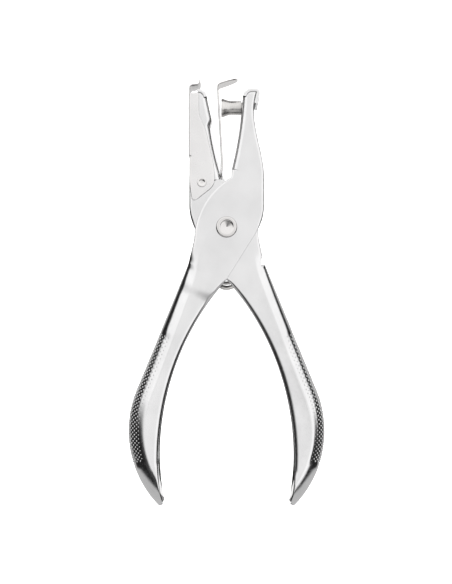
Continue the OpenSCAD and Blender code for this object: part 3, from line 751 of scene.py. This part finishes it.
def grip_dots(lever):
    """Domes on the rounded web. Centres: equal steps along the outer edge and equal arcs round the web,
    every second row moved by half an arc. Dome: three rings and a top point, their radius along the
    surface and their height along the normal."""
    s, line, inward, half, deep = handle_line(lever)
    rows = np.arange(KNURL_FROM, KNURL_TO, ROW_STEP)
    count = int(3 * lever["grip"] / AROUND)
    u = (np.arange(count) - (count - 1) / 2) * AROUND
    u = u[None, :] + np.where(np.arange(len(rows)) % 2, AROUND / 4, -AROUND / 4)[:, None]
    at = np.repeat(rows[:, None], count, axis=1)
    wide, tall = fold_reach(at, np.interp(at, s, half))
    wall = np.interp(at, s, half) - tall
    b = np.sign(u) * np.maximum(np.abs(u) - wall, 0) / tall
    inside = 1 - np.cos(b) < np.interp(at, s, deep) / wide - EDGE_CLEAR
    keep = inside & (np.abs(np.degrees(b)) < KNURL_SPAN)
    at, b, u, wall, wide, tall = at[keep], b[keep], u[keep], wall[keep], wide[keep], tall[keep]
    inner = np.stack([np.interp(at, s, inward[:, k]) for k in (0, 1)], axis=-1)
    edge = np.stack([np.interp(at, s, line[:, k]) for k in (0, 1)], axis=-1)
    inner = unit(inner)
    climb = (tall - SLOPE * wide) * np.cos(b) + SLOPE * wide * np.sin(np.abs(b))
    out = unit(with_z(-inner * climb[:, None], wide * np.sin(b)))
    spot = with_z(edge + (wide * (1 - np.cos(b)))[:, None] * inner,
                  np.clip(u, -wall, wall) + np.sign(b) * fold_height(np.abs(b), wide, tall))
    down = with_z(np.stack([inner[:, 1], -inner[:, 0]], axis=-1), 0.0)
    cross = np.cross(out, down)
    a = np.linspace(0, 2 * np.pi, DOT_SIDES, endpoint=False)
    smaller = 1 - SMALL_BY * ease((np.abs(b) - SMALL_FROM) / SMALL_OVER)
    ring = DOT_RINGS[:, None] * DOT_R * smaller
    lift = DOT_LIFTS * KNURL_DEPTH - KNURL_DEPTH
    dome = (spot[:, None, None] + lift[None, :, None, None] * out[:, None, None]
            + ring.T[..., None, None] * (np.cos(a)[:, None] * down[:, None, None]
                                           + np.sin(a)[:, None] * cross[:, None, None]))
    n, per = len(spot), 3 * DOT_SIDES
    sides = grid_faces(3, DOT_SIDES, closed=True)
    first = np.arange(DOT_SIDES)
    top = np.stack([first, np.roll(first, -1)], axis=-1) + 2 * DOT_SIDES
    base = (np.arange(n) * (per + 1))[:, None, None]
    points = np.concatenate([dome.reshape(n, per, 3), spot[:, None]], axis=1).reshape(-1, 3)
    caps = np.concatenate([top, np.full((DOT_SIDES, 1), per)], axis=1)
    quads = (sides[None] + base).reshape(-1, 4).tolist()
    triangles = (caps[None] + base).reshape(-1, 3).tolist()
    return points, quads + triangles


def dots_piece(name, lever, mirrored, body):
    """The dots of one handle as a piece."""
    points, faces = grip_dots(lever)
    points = points * ([-1, 1, 1] if mirrored else [1, 1, 1])
    mesh = bpy.data.meshes.new(name)
    mesh.from_pydata(((points + [0, 0, MID_Z]) * MM).tolist(), [], faces)
    if mirrored:
        mesh.flip_normals()
    mesh.shade_smooth()
    mesh.materials.append(plated)
    obj = bpy.data.objects.new(name, mesh)
    scene.collection.objects.link(obj)
    settle(obj, body, "plated_sheet")


dots_piece("punch_grip_dots", PUNCH, False, "punch_body")
dots_piece("die_grip_dots", DIE, True, "die_body")

# %% [markdown]
# ## Pivot and catcher rivets
# Both rivets are set with a punch that leaves a raised round rim and a dish in the middle, wide on the
# pivot and small on the catcher's rivet. They are turned shapes, so a profile of radius and height
# carried round the axis gives them whole.

# %% Rivets
PIVOT_HEAD, PIVOT_H, PUNCH_HALF = 6.9, 0.9, 6.15
CATCH_HEAD, CATCH_H, CATCH_HALF = 3.1, 0.6, 5.45
SIDE_H, FOOT_R, HOLLOW_R, HOLLOW_IN, HOLLOW_H = 0.3, 3.0, 2.2, 1.7, 0.25


def head_profile(shares, radius, height, base):
    """Half section of a set head above its base, from shares of its radius and height."""
    return rounded(np.array(shares) * [radius, height] + [0, base], 0.2, 5)


DISHED = [(0, 0.17), (0.07, 0.28), (0.58, 0.75), (0.63, 0.9), (0.7, 0.98), (0.78, 1.0), (0.92, 0.95),
          (0.985, 0.6), (1.0, 0.3), (1.0, 0.0)]
RINGED = [(0, 0.02), (0.25, 0.05), (0.45, 0.16), (0.6, 0.38), (0.68, 0.48), (0.76, 0.52), (0.9, 0.48),
          (0.98, 0.4), (1.0, 0.25), (1.0, 0.0)]
reach = PUNCH_HALF + LOOSE
upper = head_profile(DISHED, PIVOT_HEAD / 2, PIVOT_H, reach)
lower = rounded(np.array([(PIVOT_HEAD / 2, -reach), (PIVOT_HEAD / 2, -reach - SIDE_H),
                          (FOOT_R, -MID_Z), (HOLLOW_R, -MID_Z),
                          (HOLLOW_IN, -MID_Z + HOLLOW_H), (0, -MID_Z + HOLLOW_H)]), 0.15, 5)
shank = np.array([(PIVOT_D / 2, reach), (PIVOT_D / 2, -reach)])
pivot = piece("pivot_rivet_set", *revolve(np.concatenate([upper, shank, lower]), 96), rivet_steel)
settle(pivot, "die_body", "rivet_steel", "pivot_rivet")

reach = CATCH_HALF + LOOSE
upper = head_profile(RINGED, CATCH_HEAD / 2, CATCH_H, reach)
shank = np.array([(CATCH_D / 2, reach), (CATCH_D / 2, -reach)])
points, faces = revolve(np.concatenate([upper, shank, upper[::-1] * [1, -1]]), 56)
small = piece("catcher_rivet_set", points + [*CATCH_AT, 0], faces, rivet_steel)
settle(small, "die_body", "rivet_steel", "catcher_rivet")

# %% [markdown]
# ## Punch pin
# The pin is turned from tool steel. Its cutting end flares to the hole's size and is ground hollow, so
# the rim bites first. The neck stands on the web, and the tail goes through it and is peened over.

# %% Punch pin
NECK_D, FLARE_L, LAND, DISH = 4.5, 3.1, 0.6, 0.8
FLARE_POWER, NECK_LEAD, PEEN_IN, PEEN_H = 1.6, 0.5, 0.3, 0.6
web_c = arc_centre(PUNCH["foot"], PUNCH["top"], PUNCH["r"])


def web_face(y, depth=0.0):
    """Sideways place of the punch web at a height, at a depth into its sheet."""
    return web_c[0] + math.sqrt((PUNCH["r"] + depth) ** 2 - (y - web_c[1]) ** 2)


seat_x = web_face(PIN_Y - NECK_D / 2) - SEAT - PIN_END
head_x = web_face(PIN_Y + NECK_D / 2, T) + SEAT - PIN_END
k = np.linspace(0, 1, 13)
dish = np.stack([HOLE_D / 2 * k, DISH * (1 - k ** 2)], axis=-1)
flare = LAND + (FLARE_L - LAND) * k
swell = HOLE_D / 2 + (NECK_D - HOLE_D) / 2 * (1 - (1 - k) ** FLARE_POWER)
neck = np.array([(NECK_D / 2, FLARE_L + NECK_LEAD), (NECK_D / 2, seat_x), (TAIL_D / 2, seat_x),
                 (TAIL_D / 2, head_x), (NECK_D / 2, head_x),
                 (NECK_D / 2 - PEEN_IN, head_x + PEEN_H), (0, head_x + PEEN_H)])
body = np.concatenate([dish, np.stack([swell, flare], axis=-1), rounded(neck, 0.12, 4)])
points, faces = revolve(body, 72)
points = points[:, [2, 0, 1]] + [PIN_END, PIN_Y, 0]
pin = piece("punch_pin_turned", points, faces, pin_steel)
settle(pin, "punch_body", "tool_steel", "punch_pin")

# %% [markdown]
# ## Stripper leaf
# The leaf is a strip of spring steel. It hooks round the foot of the die web, stands up between the
# jaws with a hole for the pin, and at the top leans over in a round-ended tongue that guides the
# paper in. One patch does it: a bent line, with a width that changes along it.

# %% Stripper leaf
LEAF_T, LEAF_HALF, HOOK_HALF, HOOK_L = 0.6, 4.3, 2.6, 2.0
LEAF_X, LEAF_TOP, LEAD_L, LEAD_RISE = -2.55, 46.4, 7.0, 18.0
KNEE_OUT, KNEE_Y, WIDEN = 1.1, 21.0, 0.6
LEAF_ROWS, LEAF_COLS, LEAF_ROLL, TIP_SHARE = 220, 13, 1.6, 0.985
GAP, PIN_ROOM = 0.3, 0.5
die_c = arc_centre(DIE["foot"], DIE["top"], DIE["r"])
out = unit(np.array([DIE["foot"][0] - die_c[0], die_c[1] - DIE["foot"][1]]))
up = np.array([-out[1], out[0]])
foot = np.array([-DIE["foot"][0], DIE["foot"][1]]) - GAP * up
off = SEAT + (HOOK_L + 3 * GAP) ** 2 / (2 * DIE["r"]) + LEAF_T / 2
knee = np.array([LEAF_X + KNEE_OUT, KNEE_Y])
high = knee + (LEAF_TOP - knee[1]) * np.array([(LEAF_X - knee[0]) / (PIN_Y - knee[1]), 1])
tip = high + LEAD_L * turn(LEAD_RISE)
start = foot + out * off + up * HOOK_L
line = np.array([foot - out * (T + off) + up * HOOK_L, foot - out * (T + off) - up * off,
                 foot + out * off - up * off, start, knee, high, tip])
line = resample(rounded(line, [0.5, 0.5, 0.6, 5.0, 1.0], 8), LEAF_ROWS)
far = np.concatenate([[0], np.cumsum(np.linalg.norm(np.diff(line, axis=0), axis=1))])
hook_end = 2 * HOOK_L + T + 2 * off
wide = HOOK_HALF + (LEAF_HALF - HOOK_HALF) * ease((far - hook_end + WIDEN) / (2 * WIDEN))
end = np.clip((far - far[-1] + LEAF_HALF) / LEAF_HALF, 0, TIP_SHARE)
wide = wide * np.sqrt(1 - end ** 2)
face = line - LEAF_T / 2 * side_of(line)
patch = with_z(np.repeat(face[:, None], LEAF_COLS, axis=1),
               wide[:, None] * np.linspace(1, -1, LEAF_COLS))
leaf = piece("stripper_leaf_strip", *sheet_metal([patch[:, ::-1]], LEAF_T, LEAF_ROLL), leaf_steel)
drill(leaf, (0, PIN_Y, 0), (2 * LEAF_X, PIN_Y, 0), HOLE_D / 2 + PIN_ROOM)
settle(leaf, "die_body", "spring_strip", "stripper_leaf")

# %% [markdown]
# ## Chip catcher
# A thin channel closes the open side of the die jaw and holds the punched chips. Its cheeks spread to
# a tongue round the small rivet, a strip bends over its top, and a thumb tab stands on the strip.

# %% Chip catcher
CT, CBEND, CWEB, CFOOT, CDEPTH = 0.5, 0.6, -12.3, 23.0, 3.4
STRIP_Y, STRIP_R, TAB_H = 46.1, 1.2, 1.8
TONGUE_END, FLAP_W, FLAP_SHARE = 8.72, 0.7, 0.3
CUP_ROWS, FOOT_ROW, CATCH_ROLL = 90, 52, 0.8
edge_x = CWEB + CDEPTH
inner_line = np.array([(edge_x, JAW_TOP), (edge_x, 36.2), (-7.9, 34), (-6.9, 32), (-6.1, 29), (-5, 24),
                       (-3.9, 19), (-3.9, 14.2), (-4.9, 12.6), (-9.6, 8.9), (-10.4, TONGUE_END)])
inner_line = rounded(inner_line, [2.0, 1.2, 1.2, 2.0, 2.5, 2.5, 1.0, 1.2, 0.6], 8)
outer_line = np.array([(-12.0, CFOOT), (-12.0, 14.0), (-11.2, 8.9), (-10.8, TONGUE_END)])
outer_line = rounded(outer_line, [3.0, 0.5], 8)
y = np.concatenate([np.linspace(JAW_TOP, CFOOT, FOOT_ROW + 1),
                    np.linspace(CFOOT, TONGUE_END, CUP_ROWS)[1:]])
right = np.stack([np.interp(-y, -inner_line[:, 1], inner_line[:, 0]), y], axis=-1)
outer = np.interp(-y, -outer_line[:, 1], outer_line[:, 0])
below = np.arange(len(y)) > FOOT_ROW
crease = outer + np.minimum(FLAP_W, FLAP_SHARE * (right[:, 0] - outer))
fold = np.stack([np.where(below, crease, CWEB + CBEND), y], axis=-1)
s = np.linspace(0, 1, 5)[None, :, None]
cheek = with_z(right[:, None] + (fold - right)[:, None] * s, CATCH_HALF)
g = np.radians(np.linspace(90, 180, FOLD_COLS + 1))
core = CATCH_HALF - CBEND
z = np.concatenate([core + CBEND * np.sin(g), np.linspace(core, -core, WEB_COLS + 1)[1:-1],
                    -core - CBEND * np.sin(g[::-1])])
x = CWEB + np.concatenate([CBEND + CBEND * np.cos(g), np.zeros(WEB_COLS - 1),
                           CBEND + CBEND * np.cos(g[::-1])])
web = np.stack(np.broadcast_arrays(x[None, :], y[:FOOT_ROW + 1, None], z[None, :]), axis=-1)
low = np.stack([np.where(below, outer, fold[:, 0]), y], axis=-1)[FOOT_ROW + 1:]
flap = with_z(np.stack([fold[FOOT_ROW + 1:], low], axis=1), CATCH_HALF)
bend = np.array([CWEB + CT / 2 + STRIP_R, STRIP_Y - STRIP_R])
tab = np.array([(-9.9, STRIP_Y + 0.35), (-9.12, STRIP_Y + 0.45), (-8.85, STRIP_Y + TAB_H)])
strip = np.concatenate([[(CWEB, JAW_TOP)], bend + (STRIP_R + CT / 2) * turn(np.linspace(180, 90, 9)),
                        rounded(tab, 0.4, 5)])
top = with_z(np.repeat(strip[:, None], WEB_COLS + 1, axis=1),
             np.linspace(core, -core, WEB_COLS + 1)[None])
over = np.array([1, 1, -1])
patches = [cheek, cheek[:, ::-1] * over, web, top[::-1], flap, flap[:, ::-1] * over]
patches = [p[:, ::-1] for p in patches]
catcher = piece("chip_catcher_sheet", *sheet_metal(patches, CT, CATCH_ROLL), catcher_plate)
drill(catcher, (*CATCH_AT, -THROUGH), (*CATCH_AT, THROUGH), CATCH_D / 2 + LOOSE)
settle(catcher, "catcher_body", "plated_sheet", "chip_catcher")

# %% [markdown]
# ## Return spring
# A torsion spring of round wire sits in the crotch, with one leg in each handle's channel. Its line is
# a helix that runs out on its tangents, and a small circle is carried along it.

# %% Return spring
WIRE, COIL_R, COIL_PITCH, COIL_Y, TURNS, LEG_LEAN = 1.1, 4.2, 1.6, 15.2, 3, 42.0
FRONT_LEAN, REAR_LEAN, LEG_GAP, WIRE_SIDES = 0.35, 1.5, 0.2, 12
span = 360 * TURNS + 180 - 2 * LEG_LEAN
t = np.linspace(0, 1, 110)
coil = with_z(COIL_R * turn(LEG_LEAN + span * t) - [0, COIL_Y], COIL_PITCH * span / 360 * (t - 0.5))
coil[:, 1] -= np.where(coil[:, 2] > 0, FRONT_LEAN, REAR_LEAN) * coil[:, 2] * np.sin(np.pi * t)
leg_dir = -turn(90 - LEG_LEAN)
leg_reach = T + 3 * WIRE
leg_l = ((coil[-1, :2] - HANDLE_START) @ INWARD - leg_reach) / -(leg_dir @ INWARD)
leg_knee = coil[-1, :2] + leg_l * leg_dir
leg_end = leg_knee - (leg_reach - T - LEG_GAP) * INWARD
leg = with_z(np.array([coil[-1, :2], coil[-1, :2] + 0.5 * leg_l * leg_dir, leg_knee, leg_end]),
             np.array([coil[-1, 2], coil[-1, 2] / 2, 0, 0]))
leg = resample(rounded(leg, [2.0, 1.3], 10), 46)[1:]
wire = np.concatenate([leg[::-1] * [-1, 1, -1], coil, leg])
along = unit(np.gradient(wire, axis=0))
one = unit(np.cross([0, 0, 1], along))
two = np.cross(along, one)
a = np.linspace(0, 2 * np.pi, WIRE_SIDES, endpoint=False)
ring = np.ones(len(wire))
ring[[0, -1]] = 0.0
ring[[1, -2]] = 0.8
tube = wire[:, None] + WIRE / 2 * ring[:, None, None] * (
    np.cos(a)[None, :, None] * one[:, None] + np.sin(a)[None, :, None] * two[:, None])
faces = grid_faces(len(wire), WIRE_SIDES, closed=True)
spring = piece("return_spring_wire", tube.reshape(-1, 3), faces, wire_steel)
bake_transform(spring)
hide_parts("return_spring")
print("spring", len(wire), "rings")

# %% [markdown]
# ## Size
# The dressed tool stays inside the box of the imported solids.

# %% Update the scene
bpy.context.view_layer.update()
